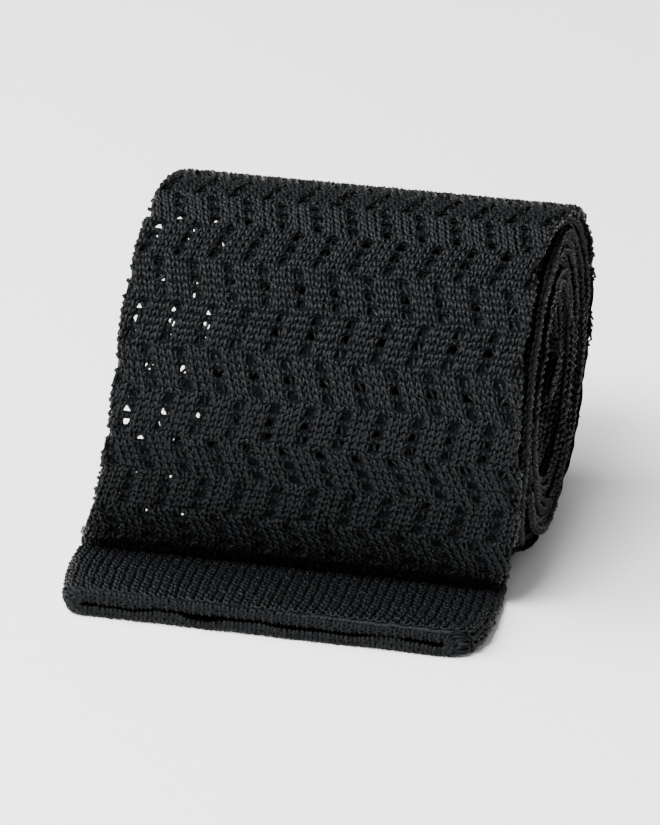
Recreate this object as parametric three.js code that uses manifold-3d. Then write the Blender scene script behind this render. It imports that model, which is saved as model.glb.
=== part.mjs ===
// A black knitted necktie, folded in half, rolled up from the fold and laid down on its side.
// The tie is a flattened knitted tube. Its wide end is a plain ribbed band with an open mouth, which
// lies on the surface in front of the roll. The openwork wide blade rises from it in a sharp crease,
// goes over the front and top of the roll and winds inward. The neck fills the middle of the roll,
// turns back at the fold, and the narrow blade winds out again between the turns of the wide one.
// Millimetres, +Z up, +X along the roll towards its showing end, the mouth towards -Y.
// The origin is at the middle of the footprint, on the surface that the tie lies on.

import * as THREE from 'three';
import { mergeVertices } from 'three/addons/utils/BufferGeometryUtils.js';
import Module from 'manifold-3d';

const wasm = await Module();
wasm.setup();

// Sizes of the tie
const BLADE_WIDTH = 71;
const NECK_WIDTH = 34;
const NARROW_WIDTH = 48;
const WALL = 0.55;
const INSIDE = 0.2;
const BAND_WALL = 0.8;
const HEM_DEPTH = 6;
const MOUTH_HEIGHT = 4.8;
const MOUTH_FLARE = 0.4;
const CREASE_HEIGHT = 2.6;
const TAIL_LENGTH = 19.4;

// Sizes of the roll
const ROLL_RADIUS = 29.1;
const CREASE_RADIUS = 0.8;
const CREASE_ANGLE = -49;
const STEP_IN = 60;
const NARROW_END_ANGLE = 52.5;
const WIDE_JOIN_ANGLE = 697.5;
const NARROW_JOIN_ANGLE = 742.5;
const HOLLOW_RADIUS = 8.82;
const CORE_PHASE = 142.5;
const CORE_BEND = 110;
const CORE_RADIUS = 1;
const FLAP_LENGTH = 6;

// Clearances
const PLY_GAP = 0.39;
const JOIN_GAP = 0.3;

// Openwork, in the stretch that light shines through
const EYELET_WIDTH = 1.1;
const EYELET_LENGTH = 1.2;
const EYELET_PITCH = 5.62;
const EYELET_ROW = 2.47;
const EYELET_STEP = 0.7;
const EYELET_COLUMNS = 3;
const EYELETS_IN_BAND = 3;
const EYELET_FROM_RIGHT = 63.3;
const EYELET_START = -40.5;
const EYELET_END = 112.5;

// Fineness
const STEP = 15;
const BEND_STEP = 26.25;
const FOLD_STEP = 36;
const EYELET_OVERCUT = 0.3;

// A ply is the tube pressed flat: two walls and the inside between them. A pitch is two plies.
const PLY = 2 * WALL + INSIDE;
const NARROW_DEPTH = PLY + PLY_GAP;
const PITCH = 2 * NARROW_DEPTH;

// The roll's facets nest from turn to turn, and one of them lies flat on the surface.
const TURN = 360;
const BOTTOM_ANGLE = 270 + STEP / 2;
const CORE_ANGLE = CORE_PHASE + (TURN * (ROLL_RADIUS - HOLLOW_RADIUS)) / PITCH;
const radians = THREE.MathUtils.degToRad;
const CENTRE_HEIGHT = ROLL_RADIUS * Math.cos(radians(STEP / 2));

// The wide blade's right edge as shares of BLADE_WIDTH from the roll's middle, and its width as a
// share of the way from NECK_WIDTH to BLADE_WIDTH, by degrees of turn from the front of the roll.
const WIDE_EDGES = [
  { turn: -49, right: 0.476, width: 1 },
  { turn: -40, right: 0.494, width: 0.983 },
  { turn: -33, right: 0.505, width: 0.962 },
  { turn: -22, right: 0.519, width: 0.952 },
  { turn: -10, right: 0.524, width: 0.927 },
  { turn: 2, right: 0.522, width: 0.892 },
  { turn: 22, right: 0.516, width: 0.86 },
  { turn: 45, right: 0.513, width: 0.849 },
  { turn: 75, right: 0.515, width: 0.841 },
  { turn: 90, right: 0.524, width: 0.856 },
  { turn: 102, right: 0.538, width: 0.875 },
  { turn: 125, right: 0.548, width: 0.86 },
  { turn: 145, right: 0.553, width: 0.845 },
  { turn: 170, right: 0.557, width: 0.82 },
  { turn: 200, right: 0.549, width: 0.77 },
  { turn: 230, right: 0.541, width: 0.72 },
  { turn: 255, right: 0.525, width: 0.675 },
  { turn: 285, right: 0.495, width: 0.62 },
  { turn: 315, right: 0.505, width: 0.58 },
  { turn: 360, right: 0.533, width: 0.53 },
  { turn: 540, right: 0.54, width: 0.39 },
  { turn: 720, right: 0.53, width: 0.29 },
  { turn: 1080, right: 0.54, width: 0.13 },
  { turn: 1440, right: 0.528, width: 0.04 },
  { turn: 1800, right: 0.537, width: 0 },
  { turn: 2160, right: 0.526, width: 0 },
];

// How far the front of the first turn stands off the roll, as a share of the way from ROLL_RADIUS to
// the radius at the crease.
const LOOSE_FRONT = [
  { turn: -49, off: 1 },
  { turn: -40, off: 1 },
  { turn: -30, off: 0.7 },
  { turn: -20, off: 0.3 },
  { turn: -10, off: 0.08 },
  { turn: 0, off: 0 },
];

// The narrow blade's width as a share of the way from NECK_WIDTH to NARROW_WIDTH, and how far its
// right edge stands back from the wide blade's, as a share of NARROW_WIDTH.
const NARROW_EDGES = [
  { turn: 52.5, back: 0.02, width: 1 },
  { turn: 360, back: 0.012, width: 0.85 },
  { turn: 720, back: 0.016, width: 0.55 },
  { turn: 1080, back: 0.006, width: 0.25 },
  { turn: 1440, back: 0.014, width: 0.05 },
  { turn: 1800, back: 0.01, width: 0 },
];

// The wide end band by shares of TAIL_LENGTH from its mouth. The edges are shares of BLADE_WIDTH,
// the height is a share of the way from CREASE_HEIGHT to MOUTH_HEIGHT, and lift is how far the
// rounded lips start above the surface, as a share of MOUTH_HEIGHT.
const BAND_STATIONS = [
  { along: 0, left: -0.478, right: 0.45, height: 0.75, lift: 0.08 },
  { along: 0.03, left: -0.49, right: 0.46, height: 0.95, lift: 0 },
  { along: 0.1, left: -0.499, right: 0.466, height: 1, lift: 0 },
  { along: 0.28, left: -0.508, right: 0.476, height: 0.9, lift: 0 },
  { along: 0.54, left: -0.521, right: 0.479, height: 0.55, lift: 0 },
  { along: 0.8, left: -0.527, right: 0.478, height: 0.2, lift: 0 },
  { along: 1, left: -0.524, right: 0.476, height: 0, lift: 0 },
];

// The slit between the two lips by shares of the mouth's width. Its middle and its gap are shares of
// MOUTH_HEIGHT, and round is how far the band's faces draw in there, as a share of its height.
const MOUTH_WAVE = [
  { across: 0.02, middle: 0.5, gap: 0.1, round: 0.2 },
  { across: 0.14, middle: 0.53, gap: 0.09, round: 0 },
  { across: 0.27, middle: 0.48, gap: 0.17, round: 0 },
  { across: 0.38, middle: 0.45, gap: 0.22, round: 0 },
  { across: 0.5, middle: 0.49, gap: 0.12, round: 0 },
  { across: 0.62, middle: 0.52, gap: 0.14, round: 0 },
  { across: 0.75, middle: 0.48, gap: 0.16, round: 0 },
  { across: 0.88, middle: 0.5, gap: 0.11, round: 0 },
  { across: 0.98, middle: 0.5, gap: 0.13, round: 0.2 },
];

// The tube flattens from CREASE_HEIGHT to one ply over this share of the crease.
const FLATTENED_BY = 0.7;

// Reading a table

function lookUp(table, key, at, column) {
  if (at <= table[0][key]) return table[0][column];
  const last = table[table.length - 1];
  if (at >= last[key]) return last[column];
  const next = table.findIndex((row) => row[key] > at);
  const low = table[next - 1];
  const high = table[next];
  const share = (at - low[key]) / (high[key] - low[key]);
  return THREE.MathUtils.lerp(low[column], high[column], share);
}

// The roll's profile

// A direction away from the roll's middle, with 0 degrees at the front and 90 at the top.
function outward(turn) {
  return { y: -Math.cos(radians(turn)), z: Math.sin(radians(turn)) };
}

// The crease's middle lies above the flat tail, and the first turn starts where it ends.
const CREASE_MIDDLE_HEIGHT = CREASE_HEIGHT + CREASE_RADIUS;
const creaseOut = outward(CREASE_ANGLE);
const CREASE_RISE = CREASE_MIDDLE_HEIGHT - CREASE_RADIUS * creaseOut.z;
const FIRST_RADIUS = (CREASE_RISE - CENTRE_HEIGHT) / creaseOut.z;
const CREASE_Y = (FIRST_RADIUS + CREASE_RADIUS) * creaseOut.y;

// The wide blade's outer face. The front of the first turn stands loose. In each turn the blade steps
// one pitch inward, over STEP_IN degrees after it has lain on the surface.
function wideRadius(turn) {
  if (turn < BOTTOM_ANGLE) {
    const off = turn < 0 ? lookUp(LOOSE_FRONT, 'turn', turn, 'off') : 0;
    return THREE.MathUtils.lerp(ROLL_RADIUS, FIRST_RADIUS, off);
  }
  const laps = Math.floor((turn - BOTTOM_ANGLE) / TURN);
  const past = turn - BOTTOM_ANGLE - laps * TURN;
  return ROLL_RADIUS - PITCH * (laps + Math.min(1, past / STEP_IN));
}

// Stations: a point on the piece's outer face, the way that face looks, and the piece's edges

function wideEdges(turn) {
  const share = lookUp(WIDE_EDGES, 'turn', turn, 'width');
  const right = BLADE_WIDTH * lookUp(WIDE_EDGES, 'turn', turn, 'right');
  return { right, left: right - THREE.MathUtils.lerp(NECK_WIDTH, BLADE_WIDTH, share) };
}

function narrowEdges(turn) {
  const share = lookUp(NARROW_EDGES, 'turn', turn, 'width');
  const back = NARROW_WIDTH * lookUp(NARROW_EDGES, 'turn', turn, 'back');
  const right = wideEdges(turn).right - back;
  return { right, left: right - THREE.MathUtils.lerp(NECK_WIDTH, NARROW_WIDTH, share) };
}

function station(middle, out, radius, edges, thickness = PLY) {
  return {
    y: middle.y + out.y * radius,
    z: middle.z + out.z * radius,
    out,
    thickness,
    ...edges,
  };
}

const ROLL_MIDDLE = { y: 0, z: CENTRE_HEIGHT };

// The given turns and every facet corner between them
function facetTurns(from, to) {
  const turns = [from];
  let corner = BOTTOM_ANGLE - STEP * Math.ceil((BOTTOM_ANGLE - from) / STEP);
  while (corner < to) {
    if (corner > from) turns.push(corner);
    corner += STEP;
  }
  turns.push(to);
  return turns;
}

function wideStations(from, to) {
  return facetTurns(from, to).map((turn) => (
    station(ROLL_MIDDLE, outward(turn), wideRadius(turn), wideEdges(turn))
  ));
}

function narrowStations(from, to) {
  return facetTurns(from, to).map((turn) => (
    station(ROLL_MIDDLE, outward(turn), wideRadius(turn) - NARROW_DEPTH, narrowEdges(turn))
  ));
}

// The same tube run the other way: its first face becomes its last
function reversed(stations) {
  return stations.map((place) => ({
    ...place,
    y: place.y - place.out.y * place.thickness,
    z: place.z - place.out.z * place.thickness,
    out: { y: -place.out.y, z: -place.out.z },
  })).reverse();
}

// The turn that lies one joint's gap further along the spiral
function pastJoin(turn) {
  return turn + THREE.MathUtils.radToDeg(JOIN_GAP / wideRadius(turn));
}

// The concave bend from the flat tail to the front of the roll. The tube flattens in it.
function creaseStations() {
  const middle = { y: CREASE_Y, z: CREASE_MIDDLE_HEIGHT };
  const bend = 90 - CREASE_ANGLE;
  const count = Math.round(bend / BEND_STEP);
  const stations = [];
  for (let i = 0; i < count; i += 1) {
    const share = i / count;
    const out = outward(90 - bend * share);
    const thickness = THREE.MathUtils.lerp(CREASE_HEIGHT, PLY, Math.min(1, share / FLATTENED_BY));
    stations.push(station(middle, out, -CREASE_RADIUS, wideEdges(CREASE_ANGLE), thickness));
  }
  return stations;
}

// The innermost turn bends across the hollow core and ends in a flap.
const coreOut = outward(CORE_ANGLE);
const CORE_FACE = wideRadius(CORE_ANGLE) - PITCH + PLY_GAP;
const CORE_MIDDLE = {
  y: coreOut.y * (CORE_FACE - CORE_RADIUS),
  z: ROLL_MIDDLE.z + coreOut.z * (CORE_FACE - CORE_RADIUS),
};

function coreStations(depth, edges) {
  const radius = CORE_RADIUS + PITCH - PLY_GAP - depth;
  const count = Math.round(CORE_BEND / BEND_STEP);
  const stations = [];
  for (let i = 1; i <= count; i += 1) {
    const out = outward(CORE_ANGLE + (CORE_BEND * i) / count);
    stations.push(station(CORE_MIDDLE, out, radius, edges));
  }
  return stations;
}

// The tie turns back on itself at the fold, around a middle between its two plies.
const flapOut = outward(CORE_ANGLE + CORE_BEND);
const flapAlong = { y: flapOut.z, z: -flapOut.y };
const FOLD_DEPTH = CORE_RADIUS + PLY + PLY_GAP / 2;
const FOLD_MIDDLE = {
  y: CORE_MIDDLE.y + flapOut.y * FOLD_DEPTH + flapAlong.y * FLAP_LENGTH,
  z: CORE_MIDDLE.z + flapOut.z * FOLD_DEPTH + flapAlong.z * FLAP_LENGTH,
};

function foldStations(edges) {
  const count = Math.round(180 / FOLD_STEP);
  const stations = [];
  for (let i = 0; i <= count; i += 1) {
    const out = outward(CORE_ANGLE + CORE_BEND + (180 * i) / count);
    stations.push(station(FOLD_MIDDLE, out, PLY + PLY_GAP / 2, edges));
  }
  return stations;
}

// Sections: loops of points, each with a place across the tie and a depth below its outer face

function plyLoops({ left, right, thickness }) {
  const round = thickness / 2;
  const outer = [
    [left, thickness / 2],
    [left + round, 0],
    [right - round, 0],
    [right, thickness / 2],
    [right - round, thickness],
    [left + round, thickness],
  ];
  const inset = round + WALL / 2;
  const inner = [
    [left + inset, WALL],
    [right - inset, WALL],
    [right - inset, thickness - WALL],
    [left + inset, thickness - WALL],
  ];
  return { outer, inner };
}

// Inside the hem the two walls are folded double, down to the slit between the lips.
function bandLoops({ left, right, thickness, depth }) {
  const top = [];
  const bottom = [];
  const insideTop = [];
  const insideBottom = [];
  MOUTH_WAVE.forEach((row, i) => {
    const first = i === 0;
    const last = i === MOUTH_WAVE.length - 1;
    const x = THREE.MathUtils.lerp(left, right, row.across);
    const inset = first ? BAND_WALL : 0;
    const insideX = last ? x - BAND_WALL : x + inset;
    const face = thickness * row.round;
    const middle = thickness * (1 - row.middle);
    const flare = depth === 0 ? MOUTH_FLARE : 0;
    const halfGap = (MOUTH_HEIGHT * row.gap) / 2 + flare;
    const hemmed = depth < HEM_DEPTH;
    top.push([x, face]);
    bottom.push([x, thickness - face]);
    insideTop.push([insideX, hemmed ? middle - halfGap : face + BAND_WALL]);
    insideBottom.push([insideX, hemmed ? middle + halfGap : thickness - face - BAND_WALL]);
  });
  const outer = [[left, thickness / 2], ...top, [right, thickness / 2], ...bottom.reverse()];
  const inner = [...insideTop, ...insideBottom.reverse()];
  return { outer, inner };
}

// A tube with a hollow right through it, lofted from one station to the next
function loftTube(stations, loopsOf) {
  const positions = [];
  const indices = [];
  const sections = stations.map((place) => {
    const loops = loopsOf(place);
    const addLoop = (loop) => loop.map(([x, depth]) => {
      positions.push(x, place.y - place.out.y * depth, place.z - place.out.z * depth);
      return positions.length / 3 - 1;
    });
    return { loops, outer: addLoop(loops.outer), inner: addLoop(loops.inner) };
  });
  const quad = (a, b, c, d) => indices.push(a, b, c, a, c, d);
  for (let i = 1; i < sections.length; i += 1) {
    const from = sections[i - 1];
    const to = sections[i];
    from.outer.forEach((point, k) => {
      const next = (k + 1) % from.outer.length;
      quad(point, from.outer[next], to.outer[next], to.outer[k]);
    });
    from.inner.forEach((point, k) => {
      const next = (k + 1) % from.inner.length;
      quad(point, to.inner[k], to.inner[next], from.inner[next]);
    });
  }
  const capEnd = (section, atStart) => {
    const toVectors = (loop) => loop.map(([x, depth]) => new THREE.Vector2(x, depth));
    const outline = toVectors(section.loops.outer);
    const hollow = toVectors(section.loops.inner);
    const corners = [...outline, ...hollow];
    const ids = [...section.outer, ...section.inner];
    THREE.ShapeUtils.triangulateShape([...outline], [[...hollow]]).forEach(([a, b, c]) => {
      const backward = THREE.ShapeUtils.area([corners[a], corners[b], corners[c]]) < 0;
      const flipped = backward !== atStart;
      indices.push(ids[a], flipped ? ids[c] : ids[b], flipped ? ids[b] : ids[c]);
    });
  };
  capEnd(sections[0], true);
  capEnd(sections[sections.length - 1], false);
  const geometry = new THREE.BufferGeometry();
  geometry.setAttribute('position', new THREE.Float32BufferAttribute(positions, 3));
  geometry.setIndex(indices);
  return geometry;
}

// Joining and cutting

function toSolid(geometry) {
  const bare = geometry.clone();
  bare.deleteAttribute('normal');
  bare.deleteAttribute('uv');
  const merged = mergeVertices(bare);
  return new wasm.Manifold(new wasm.Mesh({
    numProp: 3,
    vertProperties: new Float32Array(merged.attributes.position.array),
    triVerts: new Uint32Array(merged.index.array),
  }));
}

function toGeometry(solid) {
  const mesh = solid.getMesh();
  const geometry = new THREE.BufferGeometry();
  geometry.setAttribute('position', new THREE.BufferAttribute(mesh.vertProperties, 3));
  geometry.setIndex(new THREE.BufferAttribute(mesh.triVerts, 1));
  return geometry;
}

// The pieces

// The mouth is at the first station, and the hem ends inside the tube at HEM_DEPTH.
function bandGeometry() {
  const length = TAIL_LENGTH - JOIN_GAP;
  const hemDepths = [HEM_DEPTH - WALL, HEM_DEPTH];
  const depths = [...BAND_STATIONS.map((row) => row.along * length), ...hemDepths].sort((a, b) => a - b);
  const stations = depths.map((depth) => {
    const at = depth / length;
    const read = (column) => lookUp(BAND_STATIONS, 'along', at, column);
    const top = THREE.MathUtils.lerp(CREASE_HEIGHT, MOUTH_HEIGHT, read('height'));
    return {
      y: CREASE_Y - TAIL_LENGTH + depth,
      z: top,
      out: outward(90),
      depth,
      thickness: top - MOUTH_HEIGHT * read('lift'),
      left: BLADE_WIDTH * read('left'),
      right: BLADE_WIDTH * read('right'),
    };
  });
  return loftTube(stations, bandLoops);
}

// Each eyelet goes through both walls. They stand in slanting bands of a few rows, which lean one
// way and then the other, and each band is set off by half a column from the last. The columns keep
// their distance from the right edge, and the left edge comes in across them.
function eyelets() {
  const cutters = [];
  const right = wideEdges(EYELET_END).right;
  let turn = EYELET_START;
  for (let row = 0; turn < EYELET_END; row += 1) {
    const leansBack = Math.floor(row / EYELETS_IN_BAND) % 2 === 0;
    const inBand = row % EYELETS_IN_BAND;
    const slant = EYELET_STEP * (leansBack ? EYELETS_IN_BAND - 1 - inBand : inBand);
    const stagger = leansBack ? EYELET_PITCH / 2 : 0;
    const start = right - EYELET_FROM_RIGHT + stagger + slant;
    const out = outward(turn);
    const radius = wideRadius(turn) - PLY / 2;
    for (let column = 0; column < EYELET_COLUMNS; column += 1) {
      const cutter = new THREE.BoxGeometry(EYELET_WIDTH, EYELET_LENGTH, PLY + 2 * EYELET_OVERCUT);
      cutter.rotateX(radians(90 - turn));
      cutter.translate(start + column * EYELET_PITCH, out.y * radius, CENTRE_HEIGHT + out.z * radius);
      cutters.push(toSolid(cutter));
    }
    turn += THREE.MathUtils.radToDeg(EYELET_ROW / wideRadius(turn));
  }
  return cutters;
}

function wideBladeGeometry() {
  const stations = [
    ...creaseStations(),
    ...wideStations(CREASE_ANGLE, WIDE_JOIN_ANGLE),
  ];
  const tube = toSolid(loftTube(stations, plyLoops));
  return toGeometry(wasm.Manifold.difference([tube, ...eyelets()]));
}

function neckGeometry() {
  const edges = wideEdges(CORE_ANGLE);
  const stations = [
    ...wideStations(pastJoin(WIDE_JOIN_ANGLE), CORE_ANGLE),
    ...coreStations(0, edges),
    ...foldStations(edges),
    ...reversed([
      ...narrowStations(pastJoin(NARROW_JOIN_ANGLE), CORE_ANGLE),
      ...coreStations(NARROW_DEPTH, edges),
    ]),
  ];
  return loftTube(stations, plyLoops);
}

function narrowBladeGeometry() {
  return loftTube(narrowStations(NARROW_END_ANGLE, NARROW_JOIN_ANGLE), plyLoops);
}

const openworkKnit = new THREE.MeshStandardMaterial({ color: 0x15171a, roughness: 0.55, metalness: 0 });
const plainKnit = new THREE.MeshStandardMaterial({ color: 0x15171a, roughness: 0.6, metalness: 0 });

const tie = new THREE.Group();

function addPiece(name, geometry, material) {
  const mesh = new THREE.Mesh(geometry, material);
  mesh.name = name;
  tie.add(mesh);
}

addPiece('wide_end_band', bandGeometry(), plainKnit);
addPiece('wide_blade', wideBladeGeometry(), openworkKnit);
addPiece('neck', neckGeometry(), openworkKnit);
addPiece('narrow_blade', narrowBladeGeometry(), openworkKnit);

const bounds = new THREE.Box3().setFromObject(tie);
const footprint = bounds.getCenter(new THREE.Vector3());
tie.position.set(-footprint.x, -footprint.y, -bounds.min.z);

export default tie;
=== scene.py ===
"""A black knitted necktie, folded in half and rolled up, as seen from its open right end."""

import math  # noqa: E402

import bpy  # noqa: E402
import numpy as np  # noqa: E402
from mathutils import Matrix, Vector  # noqa: E402


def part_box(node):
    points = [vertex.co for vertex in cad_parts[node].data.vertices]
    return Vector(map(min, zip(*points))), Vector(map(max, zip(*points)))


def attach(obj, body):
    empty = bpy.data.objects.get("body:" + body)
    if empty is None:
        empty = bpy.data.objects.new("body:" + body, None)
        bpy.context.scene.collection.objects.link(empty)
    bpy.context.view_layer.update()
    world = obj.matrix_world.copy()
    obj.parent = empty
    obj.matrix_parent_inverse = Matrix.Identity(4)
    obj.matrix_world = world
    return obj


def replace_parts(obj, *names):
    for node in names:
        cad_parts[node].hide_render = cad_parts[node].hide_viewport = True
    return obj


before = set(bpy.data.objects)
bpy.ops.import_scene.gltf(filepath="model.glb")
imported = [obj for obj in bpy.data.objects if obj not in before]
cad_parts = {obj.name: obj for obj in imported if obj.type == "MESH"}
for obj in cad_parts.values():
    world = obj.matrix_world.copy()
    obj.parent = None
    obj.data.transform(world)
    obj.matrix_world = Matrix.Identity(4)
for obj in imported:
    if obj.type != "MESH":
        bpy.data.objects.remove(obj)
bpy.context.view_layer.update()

# Sizes of the tie in millimetres and in degrees of turn, as in the part's source
BLADE_WIDTH = 71.0
NECK_WIDTH = 34.0
NARROW_WIDTH = 48.0
WALL = 0.55
INSIDE = 0.2
MOUTH_HEIGHT = 4.8
CREASE_HEIGHT = 2.6
TAIL_LENGTH = 19.4
ROLL_RADIUS = 29.1
CREASE_RADIUS = 0.8
CREASE_ANGLE = -49.0
STEP_IN = 60.0
NARROW_END_ANGLE = 52.5
HOLLOW_RADIUS = 8.82
CORE_PHASE = 142.5
CORE_BEND = 110.0
CORE_RADIUS = 1.0
FLAP_LENGTH = 6.0
PLY_GAP = 0.39
FACET = 15.0
WIDE_JOIN = 697.5
NARROW_JOIN = 742.5

PLY = 2 * WALL + INSIDE
NARROW_DEPTH = PLY + PLY_GAP
PITCH = 2 * NARROW_DEPTH
TURN = 360.0
BOTTOM_ANGLE = 270 + FACET / 2
CORE_ANGLE = CORE_PHASE + TURN * (ROLL_RADIUS - HOLLOW_RADIUS) / PITCH
CENTRE_HEIGHT = ROLL_RADIUS * math.cos(math.radians(FACET / 2))

# Turn, right edge as a share of BLADE_WIDTH, and width as a share of the way from NECK_WIDTH to
# BLADE_WIDTH
WIDE_EDGES = np.array([
    (-49, 0.476, 1), (-40, 0.494, 0.983), (-33, 0.505, 0.962), (-22, 0.519, 0.952),
    (-10, 0.524, 0.927), (2, 0.522, 0.892), (22, 0.516, 0.86), (45, 0.513, 0.849),
    (75, 0.515, 0.841), (90, 0.524, 0.856), (102, 0.538, 0.875), (125, 0.548, 0.86),
    (145, 0.553, 0.845), (170, 0.557, 0.82), (200, 0.549, 0.77), (230, 0.541, 0.72),
    (255, 0.525, 0.675), (285, 0.495, 0.62), (315, 0.505, 0.58), (360, 0.533, 0.53),
    (540, 0.54, 0.39), (720, 0.53, 0.29), (1080, 0.54, 0.13), (1440, 0.528, 0.04),
    (1800, 0.537, 0), (2160, 0.526, 0),
])

# Turn, and how far the front of the first turn stands off the roll, as a share of the way to the crease
LOOSE_FRONT = np.array([
    (-49, 1), (-46.5, 1.25), (-43, 1.38), (-39, 1.2), (-34, 0.9), (-28, 0.62), (-20, 0.3), (-10, 0.08),
    (0, 0),
])

# Turn, how far the right edge stands back as a share of NARROW_WIDTH, and width as for the blade
NARROW_EDGES = np.array([
    (52.5, 0.02, 1), (360, 0.012, 0.85), (720, 0.016, 0.55), (1080, 0.006, 0.25),
    (1440, 0.014, 0.05), (1800, 0.01, 0),
])

# Share of TAIL_LENGTH from the mouth, left and right edge as shares of BLADE_WIDTH, and height as a
# share of the way from CREASE_HEIGHT to MOUTH_HEIGHT
BAND_STATIONS = np.array([
    (0, -0.48, 0.42, 0.9), (0.05, -0.492, 0.446, 1), (0.12, -0.499, 0.461, 1), (0.28, -0.508, 0.476, 0.9),
    (0.54, -0.521, 0.479, 0.55), (0.8, -0.527, 0.478, 0.2), (1, -0.524, 0.476, 0),
])

# Share across the mouth, and the slit's middle and its gap as shares of MOUTH_HEIGHT
MOUTH_WAVE = np.array([
    (0, 0.48, 0.08), (0.05, 0.5, 0.19), (0.12, 0.49, 0.18), (0.18, 0.45, 0.17), (0.23, 0.6, 0.18),
    (0.28, 0.57, 0.2), (0.33, 0.46, 0.3), (0.36, 0.44, 0.34), (0.41, 0.56, 0.24), (0.5, 0.54, 0.2),
    (0.57, 0.47, 0.22), (0.65, 0.5, 0.2), (0.74, 0.46, 0.2), (0.8, 0.55, 0.12), (0.85, 0.56, 0.13),
    (0.93, 0.48, 0.26), (0.97, 0.5, 0.24), (1, 0.5, 0.08),
])

# Turns where course 0 of the wide blade lies, where the stitches of its front end, and where its outer
# turn ends
FIRST_BAND_ANGLE = -27.05
FRONT_END_ANGLE = 128.0
OUTER_END_ANGLE = 307.5

# Unevenness of the inner turns, in degrees of turn and in millimetres. It grows where they begin, and
# each wave is how far it reaches and over how many degrees it swings. The innermost turns stand back
# further, as they are pushed in.
INNER_FROM = 290.0
INNER_OVER = 60.0
EDGE_WAVE = 0.26, 40
EDGE_RIPPLE = 0.08, 11
EDGE_BACK = 0.3
PUSHED_IN = 2.4
PUSHED_FROM = 1350.0
PUSHED_OVER = 450.0
FACE_WAVE = 0.1, 40

# A random wave's points, and the one that a line starts at
NOISE_POINTS = 4096
NOISE_START = 50

# Stations along the paths, and the share of the crease's bend over which the tube flattens
FLAT_BY = 0.7
TURN_STEP = 1.5
BAND_STEPS = 40
CREASE_STEPS = 12
BEND_STEPS = 24
SHEET_STEP = 0.25

# Stitches: wales run along the tie and courses across it
WIDE_WALES = 92
NARROW_WALES = 64
NECK_WALES = 52
COURSE = 1.236
WALE = 1.45
LOOP_SWING = 0.27
LOOP_REACH = 0.62
LOOP_DEPTH = 0.24
LOOP_LIFT = -0.04
YARN_ACROSS = 0.325
YARN_THICK = 0.25
YARN_MEAN = 0.95
YARN_SWELL = 0.33
FILAMENT_TWIST = 1.6
CLOTH_HEIGHTS = -0.08, -0.24

# Where the yarn would go through the floor, it is pressed to this share of its height above it
PRESSED = 0.3
FLOOR_ROOM = 0.22
LOWEST_YARN = 0.3

# Unevenness of the stitches: how far, and how many swings a wale. The last two set a course and a
# strand apart from the one before.
UNEVEN_ACROSS = 0.07, 1.7
UNEVEN_ALONG = 0.09, 1.3
UNEVEN_HEIGHT = 0.06, 1.1
UNEVEN_YARN = 0.1, 2.1
NEXT_COURSE = 97.3
NEXT_STRAND = 13.7

# Cells of the cloth where it is hidden, in wales and courses
COARSE_WALES = 4.0
INNER_WALES = 2.0
INNER_STEP = 2.0
NECK_STEP = 1.5

# The lace: every second course has eyelets four wales apart. Three rows of them lean one way and the
# next three the other, set off by half the distance.
LEAN = 0.24
EYELET_WALES = 4
EYELET_COURSES = 2
ROWS_ONE_WAY = 3
COURSES_ONE_WAY = ROWS_ONE_WAY * EYELET_COURSES
FIRST_EYELET = 1.7
LACE_START = -6
LACE_LEAD = 3
LACE_OVER = 4
STRAIGHT_WALES_AT = -10.0

# How the yarn is pushed aside at an eyelet, how it sinks into it, and how it swells up around it
HOLE_RADIUS = 0.95
HOLE_FADE = 0.95
HOLE_SINK = 0.8
HOLE_ACROSS = 0.66
HOLE_ALONG = 0.74
RIDGE_HEIGHT = 0.12
RIDGE_AT = 1.9
RIDGE_WIDTH = 0.5
CLOTH_HOLE_RADIUS = 0.35
CLOTH_HOLE_FADE = 0.6

# The band and its mouth, in courses from the rim. The rim bulges by a share of a lip's thickness, and
# at the mouth's ends one lip turns into the other.
BAND_COURSES = 17
BAND_CLOTH_COURSES = 19.0
RIM_COURSES = 3.0
HEM_END = 6
HEM_COURSES = 4
RIM_BULGE = 0.38
LIP_BLEND = 0.6

# The drawing's own origin is below the roll's middle, and the frame's is under the whole footprint.
band_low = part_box("wide_end_band")[0]
CREASE_MIDDLE = CREASE_HEIGHT + CREASE_RADIUS


def outward(turn):
    """Direction away from the roll's middle: 0 is the front and 90 the top."""
    a = np.radians(turn)
    return -np.cos(a), np.sin(a)


crease_out = outward(CREASE_ANGLE)
FIRST_RADIUS = (CREASE_MIDDLE - CREASE_RADIUS * crease_out[1] - CENTRE_HEIGHT) / crease_out[1]
CREASE_Y = (FIRST_RADIUS + CREASE_RADIUS) * crease_out[0]
SHIFT_X = band_low.x * 1000 - BAND_STATIONS[:, 1].min() * BLADE_WIDTH
SHIFT_Y = band_low.y * 1000 - (CREASE_Y - TAIL_LENGTH)


def wide_radius(turn):
    """The wide blade's outer face at each turn. After each full turn it steps one pitch inward."""
    turn = np.asarray(turn, float)
    laps = np.maximum(0, np.floor((turn - BOTTOM_ANGLE) / TURN))
    past = np.clip((turn - BOTTOM_ANGLE - laps * TURN) / STEP_IN, 0, 1)
    off = column(LOOSE_FRONT, turn, 1)
    return ROLL_RADIUS + (FIRST_RADIUS - ROLL_RADIUS) * off - PITCH * (laps + past)


def wobble(at, seed, reach=1.0):
    """A slow random wave along a line, about one unit high, with a swing every few reach."""
    grid = np.random.default_rng(seed).normal(size=NOISE_POINTS)
    f = np.asarray(at, float) / reach + NOISE_START
    i = np.floor(f).astype(int)
    w = f - i
    w = w * w * (3 - 2 * w)
    return grid[i % NOISE_POINTS] * (1 - w) + grid[(i + 1) % NOISE_POINTS] * w


def column(table, at, index):
    """A table's column, read between its rows by the first one."""
    return np.interp(at, table[:, 0], table[:, index])


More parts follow.
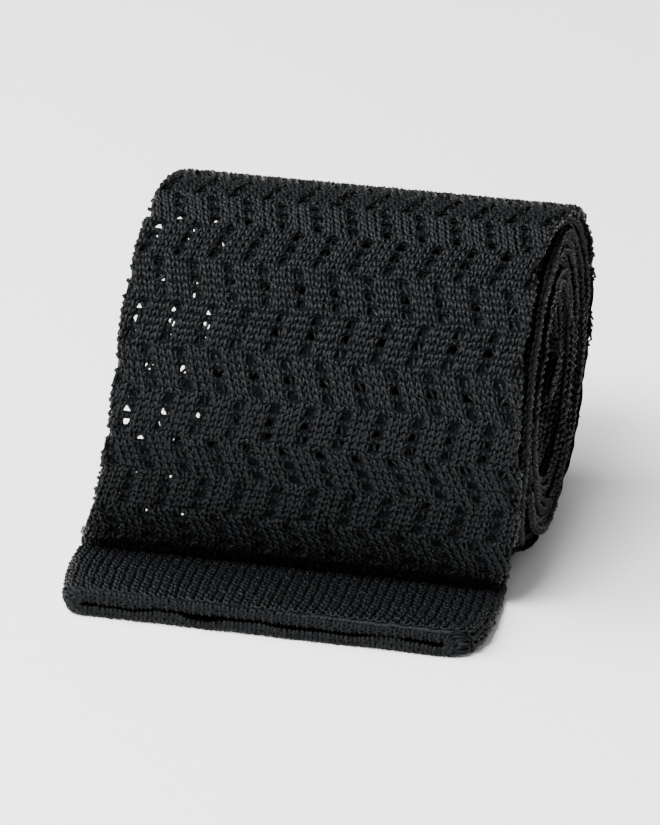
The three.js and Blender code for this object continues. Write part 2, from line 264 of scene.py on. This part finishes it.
def wide_edges(turn):
    """Left and right edge of the wide blade and the neck."""
    right = BLADE_WIDTH * column(WIDE_EDGES, turn, 1)
    width = NECK_WIDTH + (BLADE_WIDTH - NECK_WIDTH) * column(WIDE_EDGES, turn, 2)
    return right - width, right


def narrow_edges(turn):
    """Left and right edge of the narrow blade and the neck."""
    right = wide_edges(turn)[1] - NARROW_WIDTH * column(NARROW_EDGES, turn, 1)
    width = NECK_WIDTH + (NARROW_WIDTH - NECK_WIDTH) * column(NARROW_EDGES, turn, 2)
    return right - width, right


class Path:
    """Stations down a tube: a point on its outer face, the face's direction, its edges and thickness."""

    def __init__(self, rows, wales, origin=0.0):
        self.rows = np.array(rows, float)
        steps = np.hypot(np.diff(self.rows[0]), np.diff(self.rows[1]))
        self.along = np.concatenate([[0], np.cumsum(steps)])
        self.wales = wales
        self.origin = origin

    def at(self, v):
        """Stations at course v, counted from the path's origin."""
        s = self.origin + np.asarray(v) * COURSE
        return [np.interp(s, self.along, row) for row in self.rows]

    def course_at(self, index):
        """The course at one of the path's own stations."""
        return (self.along[index] - self.origin) / COURSE

    def courses(self):
        """The whole courses between the ends of the path."""
        return np.arange(math.ceil(self.course_at(0) + 0.4), self.course_at(-1) - 0.4)


def arc(middle, turns, radius, edges, thick):
    """Stations on an arc round a middle, whose outer face is at that radius."""
    out_y, out_z = outward(turns)
    parts = (middle[0] + out_y * radius, middle[1] + out_z * radius, out_y, out_z, *edges, thick)
    return np.array(np.broadcast_arrays(*parts), float)


def turned_round(rows):
    """The same tube run the other way: its first face becomes its last."""
    y, z, out_y, out_z, left, right, thick = rows
    back = np.array([y - out_y * thick, z - out_z * thick, -out_y, -out_z, left, right, thick])
    return back[:, ::-1]


def wave(kind, at, seed):
    """A random wave of one of the named kinds: how far it reaches, and over what length it swings."""
    return kind[0] * wobble(at, seed, kind[1])


def inner_share(turns):
    """0 on the outer turn and 1 on the inner ones."""
    return np.clip((turns - INNER_FROM) / INNER_OVER, 0, 1)


def uneven(edges, turns, seed):
    """The edges of the inner turns shift a little from side to side along their way."""
    shift = wave(EDGE_WAVE, turns, seed) + wave(EDGE_RIPPLE, turns, seed + 1) - EDGE_BACK
    shift = shift - PUSHED_IN * np.clip((turns - PUSHED_FROM) / PUSHED_OVER, 0, 1)
    return [edge + inner_share(turns) * shift for edge in edges]


def turns_between(start, end):
    """Even turns from start to end, at most TURN_STEP apart."""
    return np.linspace(start, end, int((end - start) / TURN_STEP) + 2)


def wide_rows(start, end):
    """The wide blade, and past its join the neck, on its way into the roll."""
    turns = turns_between(start, end)
    radius = wide_radius(turns) + wave(FACE_WAVE, turns, 9) * inner_share(turns)
    return arc((0, CENTRE_HEIGHT), turns, radius, uneven(wide_edges(turns), turns, 5), PLY)


def narrow_rows(start, end):
    """The narrow blade and the neck before it, one ply deeper than the wide one."""
    turns = turns_between(start, end)
    radius = wide_radius(turns) - NARROW_DEPTH + wave(FACE_WAVE, turns, 11)
    return arc((0, CENTRE_HEIGHT), turns, radius, uneven(narrow_edges(turns), turns, 7), PLY)


def band_rows():
    """The flat band from its mouth to the crease."""
    share = np.linspace(0, 1, BAND_STEPS)
    low, high = CREASE_HEIGHT, MOUTH_HEIGHT
    top = low + (high - low) * column(BAND_STATIONS, share, 3)
    edges = [BLADE_WIDTH * column(BAND_STATIONS, share, i) for i in (1, 2)]
    y = CREASE_Y - TAIL_LENGTH + TAIL_LENGTH * share
    return np.array([y, top, 0 * y, 0 * y + 1, *edges, top])


def crease_rows():
    """The concave bend from the band to the front of the roll, where the tube flattens."""
    share = np.linspace(0, 1, CREASE_STEPS)[1:-1]
    thick = CREASE_HEIGHT + (PLY - CREASE_HEIGHT) * np.minimum(1, share / FLAT_BY)
    turns = 90 - (90 - CREASE_ANGLE) * share
    return arc((CREASE_Y, CREASE_MIDDLE), turns, -CREASE_RADIUS, wide_edges(CREASE_ANGLE), thick)


def core_rows(depth, edges):
    """The bend into the core and its middle, for a ply whose outer face is that deep in the roll."""
    out = outward(CORE_ANGLE)
    face = wide_radius(CORE_ANGLE) - PITCH + PLY_GAP
    middle = out[0] * (face - CORE_RADIUS), CENTRE_HEIGHT + out[1] * (face - CORE_RADIUS)
    turns = CORE_ANGLE + np.linspace(0, CORE_BEND, BEND_STEPS)[1:]
    return middle, arc(middle, turns, CORE_RADIUS + PITCH - PLY_GAP - depth, edges, PLY)


def neck_rows(start, end):
    """From the wide blade into the core, round the fold, and out again to the narrow blade."""
    edges = wide_edges(CORE_ANGLE)
    middle, outer = core_rows(0, edges)
    _, inner = core_rows(NARROW_DEPTH, edges)
    flap = outward(CORE_ANGLE + CORE_BEND)
    depth = CORE_RADIUS + PLY + PLY_GAP / 2
    fold = (
        middle[0] + flap[0] * depth + flap[1] * FLAP_LENGTH,
        middle[1] + flap[1] * depth - flap[0] * FLAP_LENGTH,
    )
    turns = CORE_ANGLE + CORE_BEND + np.linspace(0, 180, BEND_STEPS)
    bend = arc(fold, turns, PLY + PLY_GAP / 2, edges, PLY)
    back = turned_round(np.concatenate([narrow_rows(end, CORE_ANGLE), inner], 1))
    return np.concatenate([wide_rows(start, CORE_ANGLE), outer, bend, back], 1)


# The paths of the pieces
lead_in = np.concatenate([band_rows(), crease_rows()], 1)
LEAD_STEPS = lead_in.shape[1]
wide_path = Path(np.concatenate([lead_in, wide_rows(CREASE_ANGLE, WIDE_JOIN)], 1), WIDE_WALES)
wide_turns = turns_between(CREASE_ANGLE, WIDE_JOIN)
wide_path.origin = np.interp(FIRST_BAND_ANGLE, wide_turns, wide_path.along[LEAD_STEPS:])
neck_path = Path(neck_rows(WIDE_JOIN, NARROW_JOIN), NECK_WALES)
narrow_path = Path(narrow_rows(NARROW_END_ANGLE, NARROW_JOIN), NARROW_WALES)
BAND_START = wide_path.course_at(0)
BAND_COURSE = wide_path.course_at(BAND_STEPS - 1)
CREASE_COURSE = wide_path.course_at(LEAD_STEPS)


def course_of(turn):
    """The wide blade's course at a turn of the roll."""
    return np.interp(turn, wide_turns, wide_path.course_at(slice(LEAD_STEPS, None)))


def round_tube(section, q, h, wales):
    """Point and normal at wale q round a tube's section, h outward from the middle of its wall."""
    y, z, out_y, out_z, left, right, thick = np.broadcast_arrays(*section, q)[:7]
    mid = thick / 2
    r = mid - WALL / 2
    flat = right - left - thick
    quarter = np.pi * r / 2
    e = np.mod(q / wales, 1) * (2 * flat + 4 * quarter)
    starts = [0, quarter, quarter + flat, 3 * quarter + flat, 3 * quarter + 2 * flat]
    d = [e - start for start in starts]
    part = sum((step >= 0).astype(int) for step in d) - 1
    a = [step / r for step in d]
    nx = np.select([part == 0, part == 2, part == 4], [-np.cos(a[0]), np.sin(a[2]), -np.sin(a[4])], 0)
    lift = np.select(
        [part == 0, part == 1, part == 2, part == 3],
        [np.sin(a[0]), 1, np.cos(a[2]), -1],
        -np.cos(a[4]),
    )
    x = np.select(
        [part == 1, part == 2, part == 3],
        [left + mid + d[1], right - mid, right - mid - d[3]],
        left + mid,
    )
    depth = mid - lift * (r + h)
    point = np.stack([x + nx * (r + h), y - out_y * depth, z - out_z * depth], -1)
    return point, np.stack([nx, lift * out_y, lift * out_z], -1)


def above_floor(point, h):
    """Presses what would go through the floor flat on it, the lowest yarn lowest."""
    point[..., 2] = np.maximum(point[..., 2], FLOOR_ROOM + PRESSED * (h + LOWEST_YARN))
    return point


def on_path(path):
    """A function that places wales, courses and heights on a tube."""

    def place(q, v, h):
        point, normal = round_tube(path.at(v), q, h, path.wales)
        return above_floor(point, h), normal

    return place


# Lace
def wale_at_middle(v):
    """The wale that would lie at STRAIGHT_WALES_AT if the first one were at the left edge."""
    left, right = wide_path.at(v)[4:6]
    return (STRAIGHT_WALES_AT - left) / (right - left) * WIDE_WALES / 2


def lean(v):
    """How far the wales lie to the right at course v, in wales: their zigzag and the edge's taper."""
    p = np.mod(v + 1, 2 * COURSES_ONE_WAY)
    started = np.clip((v - LACE_START + LACE_LEAD) / LACE_OVER, 0, 1)
    zigzag = LEAN * (np.where(p < COURSES_ONE_WAY, p, 2 * COURSES_ONE_WAY - p) - 1) * started
    return zigzag + wale_at_middle(np.maximum(v, CREASE_COURSE)) - wale_at_middle(CREASE_COURSE)


def nearest_eyelet(q, v):
    """The nearest eyelet's wale and course."""
    row = np.maximum(np.round(v / EYELET_COURSES), LACE_START / EYELET_COURSES)
    back = np.mod(np.floor(row / ROWS_ONE_WAY), 2) == 1
    start = FIRST_EYELET + np.where(back, EYELET_WALES / 2, 0)
    return start + EYELET_WALES * np.round((q - start) / EYELET_WALES), row * EYELET_COURSES


def open_eyelets(q, v, radius, fade):
    """Moves points away from the nearest eyelet."""
    hole_q, hole_v = nearest_eyelet(q, v)
    dx, dy = (q - hole_q) * WALE, (v - hole_v) * COURSE
    far = np.hypot(dx, dy) + 1e-6
    push = radius * np.exp(-far / fade)
    return q + dx / far * push / WALE, v + dy / far * push / COURSE


# Making meshes
def add_mesh(name, points, faces, material, attributes):
    """A smooth mesh of triangles, from points in drawing millimetres."""
    placed = (points.reshape(-1, 3) + (SHIFT_X, SHIFT_Y, 0)) / 1000
    mesh = bpy.data.meshes.new(name)
    mesh.vertices.add(len(placed))
    mesh.vertices.foreach_set("co", placed.astype(np.float32).ravel())
    mesh.loops.add(faces.size)
    mesh.loops.foreach_set("vertex_index", faces.astype(np.int32).ravel())
    mesh.polygons.add(len(faces))
    mesh.polygons.foreach_set("loop_start", np.arange(0, faces.size, 3, dtype=np.int32))
    mesh.polygons.foreach_set("use_smooth", np.ones(len(faces), bool))
    mesh.update(calc_edges=True)
    for key, values in attributes.items():
        layer = mesh.attributes.new(key, "FLOAT_VECTOR", "POINT")
        layer.data.foreach_set("vector", values.astype(np.float32).ravel())
    mesh.materials.append(material)
    obj = bpy.data.objects.new(name, mesh)
    bpy.context.scene.collection.objects.link(obj)
    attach(obj, "root")
    return obj


def split_quads(quads):
    """Two triangles for each face of four corners."""
    quads = quads.reshape(-1, 4)
    return np.concatenate([quads[:, [0, 1, 2]], quads[:, [0, 2, 3]]])


def tubes(points, normals, across, thick, sides):
    """Closed yarns along rows of points, with an oval section that lies flat on the cloth."""
    rows, count, _ = points.shape
    tangent = np.gradient(points, axis=1)
    tangent /= np.linalg.norm(tangent, axis=-1, keepdims=True) + 1e-9
    side = np.cross(tangent, normals)
    side /= np.linalg.norm(side, axis=-1, keepdims=True) + 1e-9
    up = np.cross(side, tangent)
    a = np.pi / 2 + 2 * np.pi * np.arange(sides) / sides
    ring = points[:, :, None] + side[:, :, None] * (np.cos(a)[:, None] * across[..., None, None])
    ring = ring + up[:, :, None] * (np.sin(a)[:, None] * thick[..., None, None])
    step = np.linalg.norm(np.diff(points, axis=1), axis=-1)
    along = np.concatenate([np.zeros((rows, 1)), np.cumsum(step, 1)], 1)
    along = along + NEXT_STRAND * np.arange(rows)[:, None]
    twist = a[None, None] + FILAMENT_TWIST * along[:, :, None]
    along = np.broadcast_to(along[:, :, None], twist.shape)
    strand = np.stack([along, np.cos(twist), np.sin(twist)], -1)
    index = np.arange(rows * count * sides).reshape(rows, count, sides)
    after = np.roll(index, -1, 2)
    walls = np.stack([index[:, :-1], index[:, 1:], after[:, 1:], after[:, :-1]], -1)
    faces = [split_quads(walls)]
    for i in range(1, sides - 1):
        faces.append(index[:, 0][:, [0, i, i + 1]])
        faces.append(index[:, -1][:, [0, i + 1, i]])
    return ring.reshape(-1, 3), np.concatenate(faces), strand.reshape(-1, 3)


def steady_number(name):
    """A seed that follows from a name."""
    total = 0
    for letter in name:
        total = (total * 31 + ord(letter)) % 100003
    return total


def loops(
    name, place, courses, wales, segments=8, sides=4, lace=False, opened=1.0,
    reach=LOOP_REACH, depth=LOOP_DEPTH, yarn=1.0, lift=LOOP_LIFT,
):
    """One yarn a course, looped through the wales from the first to the last."""
    first, last = wales
    v0 = np.asarray(courses, float)[:, None]
    count = int(round((last - first) * segments)) + 1
    t = 2 * np.pi * np.linspace(first + 0.5, last + 0.5, count)[None]
    q = t / (2 * np.pi) - 0.5 + LOOP_SWING * np.sin(2 * t)
    q = np.broadcast_to(q, (len(v0), count))
    seed = steady_number(name)
    mark = q + v0 * NEXT_COURSE

    def slack(kind, draw):
        return kind[0] * wobble(mark * kind[1], seed + draw)

    v = v0 - reach * np.cos(t) + slack(UNEVEN_ALONG, 1)
    h = lift - depth * np.cos(2 * t) + slack(UNEVEN_HEIGHT, 2)
    swell = YARN_MEAN - YARN_SWELL * np.cos(2 * t) + slack(UNEVEN_YARN, 3)
    q = q + slack(UNEVEN_ACROSS, 0)
    if lace:
        hole_q, hole_v = nearest_eyelet(q, v)
        far = np.hypot((q - hole_q) * WALE / HOLE_ACROSS, (v - hole_v) * COURSE / HOLE_ALONG)
        ridge = RIDGE_HEIGHT * np.exp(-(((far - RIDGE_AT) / RIDGE_WIDTH) ** 2))
        h = h - HOLE_SINK * np.exp(-(far**2)) + ridge
        q, v = open_eyelets(q, v, HOLE_RADIUS * opened, HOLE_FADE)
        q = q + lean(v)
    points, normals = place(q, v, h)
    return tubes(points, normals, YARN_ACROSS * yarn * swell, YARN_THICK * yarn * swell, sides)


def add_loops(name, material, parts):
    """A piece from one or more runs of loops."""
    points, faces, strands, offset = [], [], [], 0
    for made in parts:
        points.append(made[0])
        faces.append(made[1] + offset)
        strands.append(made[2])
        offset += len(made[0])
    strand = {"strand": np.concatenate(strands)}
    return add_mesh(name, np.concatenate(points), np.concatenate(faces), material, strand)


def slab(place, wales, courses, lace_to=None):
    """The cloth under the loops: a thin closed tube of cells, without those at the lace's eyelets."""
    q, v = np.meshgrid(wales, courses)
    keep = np.ones((len(courses) - 1, len(wales)), bool)
    if lace_to is not None:
        hole_q, hole_v = nearest_eyelet(q + 0.5, v + 0.5)
        hit = (np.abs(hole_q - q - 0.5) < 0.5) & (np.abs(hole_v - v - 0.5) < 0.5)
        hit &= (v > LACE_START - 1) & (v < lace_to)
        keep &= ~hit[:-1]
        radius = np.where(q < wales[-1] / 2, CLOTH_HOLE_RADIUS, 0.0)
        q, v = open_eyelets(q, v, radius, CLOTH_HOLE_FADE)
        q = q + lean(v)
    layers = [place(q, v, np.full(q.shape, h))[0] for h in CLOTH_HEIGHTS]
    top = np.arange(q.size).reshape(q.shape)

    def corners(grid):
        beside = np.roll(grid, -1, 1)
        return grid[:-1], beside[:-1], beside[1:], grid[1:]

    a, b, c, d = corners(top)
    e, f, g, h = corners(top + q.size)
    none = np.zeros((1, keep.shape[1]), bool)
    below = np.concatenate([none, keep[:-1]])
    above = np.concatenate([keep[1:], none])
    quads = [
        np.stack([a, b, c, d], -1)[keep],
        np.stack([e, h, g, f], -1)[keep],
        np.stack([a, e, f, b], -1)[keep & ~below],
        np.stack([c, g, h, d], -1)[keep & ~above],
        np.stack([d, h, e, a], -1)[keep & ~np.roll(keep, 1, 1)],
        np.stack([b, f, g, c], -1)[keep & ~np.roll(keep, -1, 1)],
    ]
    points = np.concatenate([layer.reshape(-1, 3) for layer in layers])
    knit = np.stack([q, v, 0 * q], -1).reshape(-1, 3)
    return points, split_quads(np.concatenate(quads)), np.concatenate([knit, knit])


# The mouth: each lip is the wall folded double, and its rim turns from the band's face into the slit.
def lip_depth(x, low, left, right, height):
    """How thick a lip is at x, for the upper lip or the lower one."""
    share = (x - left) / (right - left)
    middle = MOUTH_HEIGHT * column(MOUTH_WAVE, share, 1)
    gap = MOUTH_HEIGHT * column(MOUTH_WAVE, share, 2) / 2
    return np.where(low, middle - gap, height - middle - gap)


def on_band(q, v, h):
    """Places wales and courses on the band. Its rim starts at course 0, where the wall turns in."""
    section = wide_path.at(BAND_START + 0 * v)
    left, right, thick = section[4:]
    face, normal = round_tube(section, q, 0 * q + WALL / 2, WIDE_WALES)
    low = np.clip(0.5 - normal[..., 2] / LIP_BLEND, 0, 1)
    upper, lower = [lip_depth(face[..., 0], is_low, left, right, thick) for is_low in (False, True)]
    depth = upper * (1 - low) + lower * low
    turn = np.pi / 2 - np.pi * np.clip(v / RIM_COURSES, 0, 1)
    inside = np.maximum(v - RIM_COURSES, 0) * COURSE
    front = depth * RIM_BULGE
    body = on_path(wide_path)(q, BAND_START + front / COURSE - np.minimum(v, 0), h)
    centre = face - normal * (depth / 2)[..., None]
    rise, ahead = np.sin(turn), np.cos(turn)
    point = centre + normal * (rise * (depth / 2 + h - WALL / 2))[..., None]
    point[..., 1] += front - ahead * (front + h - WALL / 2) + inside
    aim = normal * rise[..., None]
    aim[..., 1] -= ahead
    on_rim = (v > 0)[..., None]
    return above_floor(np.where(on_rim, point, body[0]), h), np.where(on_rim, aim, body[1])


# Materials
YARN_COLOUR = (0.0042, 0.0045, 0.005)
CLOTH_COLOUR = (0.0034, 0.0036, 0.0042)
PAPER_COLOUR = (0.94, 0.94, 0.94)
COOL_SHEEN = (0.93, 0.98, 1, 1)


def material(name, colour, roughness, gloss=0.5):
    """A principled material with its node tree and shader."""
    mat = bpy.data.materials.new(name)
    mat.use_nodes = True
    shader = mat.node_tree.nodes["Principled BSDF"]
    shader.inputs["Base Color"].default_value = (*colour, 1)
    shader.inputs["Roughness"].default_value = roughness
    shader.inputs["Specular IOR Level"].default_value = gloss
    shader.inputs["Specular Tint"].default_value = COOL_SHEEN
    return mat, mat.node_tree, shader


def add_bump(tree, shader, height, strength, distance):
    """Roughens a shader's surface by a height, up to a distance in metres."""
    bump = tree.nodes.new("ShaderNodeBump")
    bump.inputs["Strength"].default_value = strength
    bump.inputs["Distance"].default_value = distance
    tree.links.new(height, bump.inputs["Height"])
    tree.links.new(bump.outputs["Normal"], shader.inputs["Normal"])


def yarn_material(name, roughness, gloss):
    """Black silk yarn, with filaments that wind along each strand."""
    mat, tree, shader = material(name, YARN_COLOUR, roughness, gloss)
    strand = tree.nodes.new("ShaderNodeAttribute")
    strand.attribute_name = "strand"
    stretch = tree.nodes.new("ShaderNodeMapping")
    stretch.inputs["Scale"].default_value = (0.7, 2.2, 2.2)
    fine = tree.nodes.new("ShaderNodeTexNoise")
    fine.inputs["Scale"].default_value = 1.6
    fine.inputs["Detail"].default_value = 3
    tree.links.new(strand.outputs["Vector"], stretch.inputs["Vector"])
    tree.links.new(stretch.outputs["Vector"], fine.inputs["Vector"])
    add_bump(tree, shader, fine.outputs["Fac"], 0.9, 0.00012)
    return mat


def cloth_material():
    """The black cloth that shows between the loops, with the same stitches in its bump."""
    mat, tree, shader = material("black_knit_ground", CLOTH_COLOUR, 0.8, 0.04)
    knit = tree.nodes.new("ShaderNodeAttribute")
    knit.attribute_name = "knit"
    split = tree.nodes.new("ShaderNodeSeparateXYZ")
    tree.links.new(knit.outputs["Vector"], split.inputs["Vector"])

    def maths(kind, a, b=None):
        node = tree.nodes.new("ShaderNodeMath")
        node.operation = kind
        for socket, value in zip(node.inputs, (a, b)):
            if value is None:
                continue
            if isinstance(value, float):
                socket.default_value = value
            else:
                tree.links.new(value, socket)
        return node.outputs["Value"]

    across = maths("PINGPONG", maths("ADD", split.outputs["X"], 100.5), 0.5)
    slant = maths("ADD", split.outputs["Y"], maths("MULTIPLY", across, -1.6))
    grain = maths("PINGPONG", maths("ADD", slant, 400.0), 0.5)
    rib = maths("SINE", maths("MULTIPLY", across, math.tau))
    height = maths("ADD", maths("MULTIPLY", grain, 1.2), rib)
    add_bump(tree, shader, height, 1.0, 0.0003)
    return mat


yarn = yarn_material("black_silk_yarn", 0.27, 0.135)
edge_yarn = yarn_material("black_silk_yarn_edges", 0.45, 0.1)
ground = cloth_material()


def add_slab(name, made, slot, *nodes):
    """A piece of ground cloth, in place of the CAD solids that it stands for."""
    points, faces, knit = made
    obj = add_mesh(name, points, faces, ground, {"knit": knit})
    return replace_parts(obj, *nodes) if nodes else obj


# The pieces
OPENWORK = "openwork_knit"
PLAIN = "plain_knit"
on_wide = on_path(wide_path)
on_neck = on_path(neck_path)
on_narrow = on_path(narrow_path)
JOIN = round(course_of(OUTER_END_ANGLE))
FRONT_TOP = round(course_of(FRONT_END_ANGLE))
MIDDLE = (round(CREASE_COURSE) + FRONT_TOP) // 2
END = int(wide_path.course_at(-1))
NECK_END = neck_path.course_at(-1)
NARROW_END = narrow_path.course_at(-1)
LACE_FIRST = math.ceil(BAND_COURSE)

# Wales that are seen on the outer turn, on the band and inside the left end, and how many are seen on
# either side of an inner turn's edge
FRONT_WALES = (-1.5, 52.5)
LEFT_END_WALES = (-13.5, -1.5)
BAND_WALES = (-3.5, 49.5)
EDGE_WALES = 1.0

# Cloth under the loops
ring = np.arange(WIDE_WALES) - 0.5
lace_ring = ring + FIRST_EYELET % 1
band_courses = np.arange(-BAND_CLOTH_COURSES, HEM_END)
band_cloth = add_slab("band_cloth", slab(on_band, ring, band_courses), PLAIN, "wide_end_band")
outer_courses = np.arange(round(BAND_COURSE) - 1, JOIN + 1) + 0.5
blade_cloth = add_slab(
    "blade_outer_cloth", slab(on_wide, lace_ring, outer_courses, lace_to=JOIN), OPENWORK, "wide_blade"
)
coarse_ring = np.arange(0, WIDE_WALES, COARSE_WALES)
inner_cloth = add_slab(
    "blade_inner_cloth", slab(on_wide, coarse_ring, np.arange(JOIN, END, INNER_STEP)), OPENWORK
)
neck_ring = np.arange(0, NECK_WALES, INNER_WALES)
neck_courses = np.append(np.arange(0, NECK_END, NECK_STEP), NECK_END)
neck_cloth = add_slab("neck_cloth", slab(on_neck, neck_ring, neck_courses), OPENWORK, "neck")
narrow_ring = np.arange(0, NARROW_WALES, INNER_WALES)
narrow_courses = np.append(np.arange(0, NARROW_END, INNER_STEP), NARROW_END)
narrow_cloth = add_slab(
    "narrow_blade_cloth", slab(on_narrow, narrow_ring, narrow_courses), OPENWORK, "narrow_blade"
)


def add_stitches(name, slot, *parts, made_of=yarn):
    """A piece of loops of one yarn."""
    add_loops(name, made_of, parts)


add_stitches(
    "blade_front_stitches", OPENWORK,
    loops("front_low", on_wide, np.arange(LACE_FIRST, MIDDLE), FRONT_WALES, lace=True),
)
add_stitches(
    "blade_top_stitches", OPENWORK,
    loops("front_high", on_wide, np.arange(MIDDLE, FRONT_TOP), FRONT_WALES, lace=True),
)
add_stitches(
    "blade_back_stitches", OPENWORK,
    loops("back", on_wide, np.arange(FRONT_TOP, JOIN + 1), FRONT_WALES, segments=6, sides=3, lace=True),
)
add_stitches(
    "blade_inside_stitches", OPENWORK,
    loops(
        "inside", on_wide, np.arange(LACE_FIRST, JOIN + 1), LEFT_END_WALES, segments=6, sides=3,
        lace=True, opened=0.5,
    ),
)

# Loops on the band and round its rim
add_stitches(
    "band_stitches", PLAIN,
    loops("band", on_band, -np.arange(1, BAND_COURSES + 1) - 0.5, BAND_WALES, depth=0.15),
)
add_stitches(
    "mouth_stitches", PLAIN,
    loops("rim", on_band, [1.3, 3.9], (0, WIDE_WALES), yarn=1.1, depth=0.07),
    loops("lip_top", on_band, [0.2], (0, WIDE_WALES), yarn=1.15, depth=0.16, lift=0.06),
    loops("cast_off", on_band, [2.55], (0, WIDE_WALES), yarn=1.25, depth=0.2, lift=0.1, reach=0.6),
    made_of=edge_yarn,
)

# Loops along the edges of the inner turns
for name, place, wales, courses in (
    ("blade_inner", on_wide, WIDE_WALES, np.arange(JOIN + 1, END)),
    ("neck", on_neck, NECK_WALES, neck_path.courses()),
    ("narrow_blade", on_narrow, NARROW_WALES, narrow_path.courses()),
):
    for side, middle in (("right", wales / 2), ("left", 0)):
        edge = (middle - EDGE_WALES, middle + EDGE_WALES)
        add_stitches(
            f"{name}_{side}_edge_stitches", OPENWORK,
            loops(name + side, place, courses, edge, segments=7, sides=4),
            made_of=edge_yarn,
        )


# The edges of each piece's cloth, read from one course of its path to another; the pieces stay as they
# are
def cut_open(obj, path, start, end):
    """Reads a piece's edges at its courses, from one course of its path to another, and returns the piece
    unchanged.
    """
    courses = np.arange(start, end, SHEET_STEP)
    left, right = path.at(courses)[4:6]
    return obj


cut_open(
    band_cloth, wide_path, BAND_START - HEM_COURSES, BAND_COURSE,
)
cut_open(
    blade_cloth, wide_path, BAND_COURSE, JOIN,
)
cut_open(
    inner_cloth, wide_path, JOIN, END,
)
cut_open(
    neck_cloth, neck_path, 0, NECK_END,
)
cut_open(
    narrow_cloth, narrow_path, 0, NARROW_END,
)

# Floor and light. The sky is brighter on the left, and the softboxes aim at the roll.
FLOOR_REACH = 1.5
LIT_POINT = (0, 0, 0.02)
SKY_LEFT = 0.75
SKY_RIGHT = 0.16
SIDE_POWER = 27.5
KEY_POWER = 17.0
FRONT_POWER = 3.0
floor_mesh = bpy.data.meshes.new("floor")
floor_corners = [(x * FLOOR_REACH, y * FLOOR_REACH, 0) for x, y in ((-1, -1), (1, -1), (1, 1), (-1, 1))]
floor_mesh.from_pydata(floor_corners, [], [(0, 1, 2, 3)])
floor = bpy.data.objects.new("floor", floor_mesh)
bpy.context.scene.collection.objects.link(floor)
floor_mesh.materials.append(material("pale_paper", PAPER_COLOUR, 0.9)[0])

world = bpy.data.worlds.new("studio")
world.use_nodes = True
sky = world.node_tree
background = sky.nodes["Background"]
background.inputs["Color"].default_value = (1, 1, 1, 1)
where = sky.nodes.new("ShaderNodeTexCoord")
parts = sky.nodes.new("ShaderNodeSeparateXYZ")
fade = sky.nodes.new("ShaderNodeMapRange")
fade.inputs["From Min"].default_value = -1
fade.inputs["To Min"].default_value = SKY_LEFT
fade.inputs["To Max"].default_value = SKY_RIGHT
sky.links.new(where.outputs["Generated"], parts.inputs["Vector"])
sky.links.new(parts.outputs["X"], fade.inputs["Value"])
sky.links.new(fade.outputs["Result"], background.inputs["Strength"])
bpy.context.scene.world = world


def softbox(name, place, size, power):
    """A square area light that aims at the roll."""
    light = bpy.data.lights.new(name, "AREA")
    light.size = size
    light.energy = power
    obj = bpy.data.objects.new(name, light)
    obj.location = place
    obj.rotation_mode = "QUATERNION"
    obj.rotation_quaternion = (Vector(LIT_POINT) - Vector(place)).to_track_quat("-Z", "Y")
    bpy.context.scene.collection.objects.link(obj)


softbox("side", (-0.7, -0.15, 0.75), 0.9, SIDE_POWER)
softbox("key", (-0.15, -0.45, 0.8), 0.35, KEY_POWER)
softbox("front", (0.1, -0.9, 0.28), 0.4, FRONT_POWER)

# The camera looks down at the roll from a little to the right of its front. The focal length is in
# pixels of a picture 825 high, LOWERED is in metres and AIM_HEIGHT in millimetres.
PICTURE_HEIGHT = 825
SENSOR_SIZE = 36
VIEW_AZIMUTH = 12.5
VIEW_ELEVATION = 28.0
VIEW_DISTANCE = 0.7
FOCAL_PIXELS = 4256
LOWERED = 0.00683
AIM_HEIGHT = 27.0
camera_data = bpy.data.cameras.new("camera")
camera_data.sensor_width = SENSOR_SIZE
camera_data.lens = FOCAL_PIXELS / PICTURE_HEIGHT * SENSOR_SIZE
camera = bpy.data.objects.new("camera", camera_data)
bpy.context.scene.collection.objects.link(camera)
a, e = math.radians(VIEW_AZIMUTH), math.radians(VIEW_ELEVATION)
back = Vector((math.sin(a) * math.cos(e), -math.cos(a) * math.cos(e), math.sin(e)))
right = Vector((math.cos(a), math.sin(a), 0))
up = back.cross(right)
target = Vector((SHIFT_X, SHIFT_Y, AIM_HEIGHT)) / 1000 - up * LOWERED
turned = Matrix((right, up, back)).transposed().to_4x4()
camera.matrix_world = Matrix.Translation(target + back * VIEW_DISTANCE) @ turned
bpy.context.scene.camera = camera
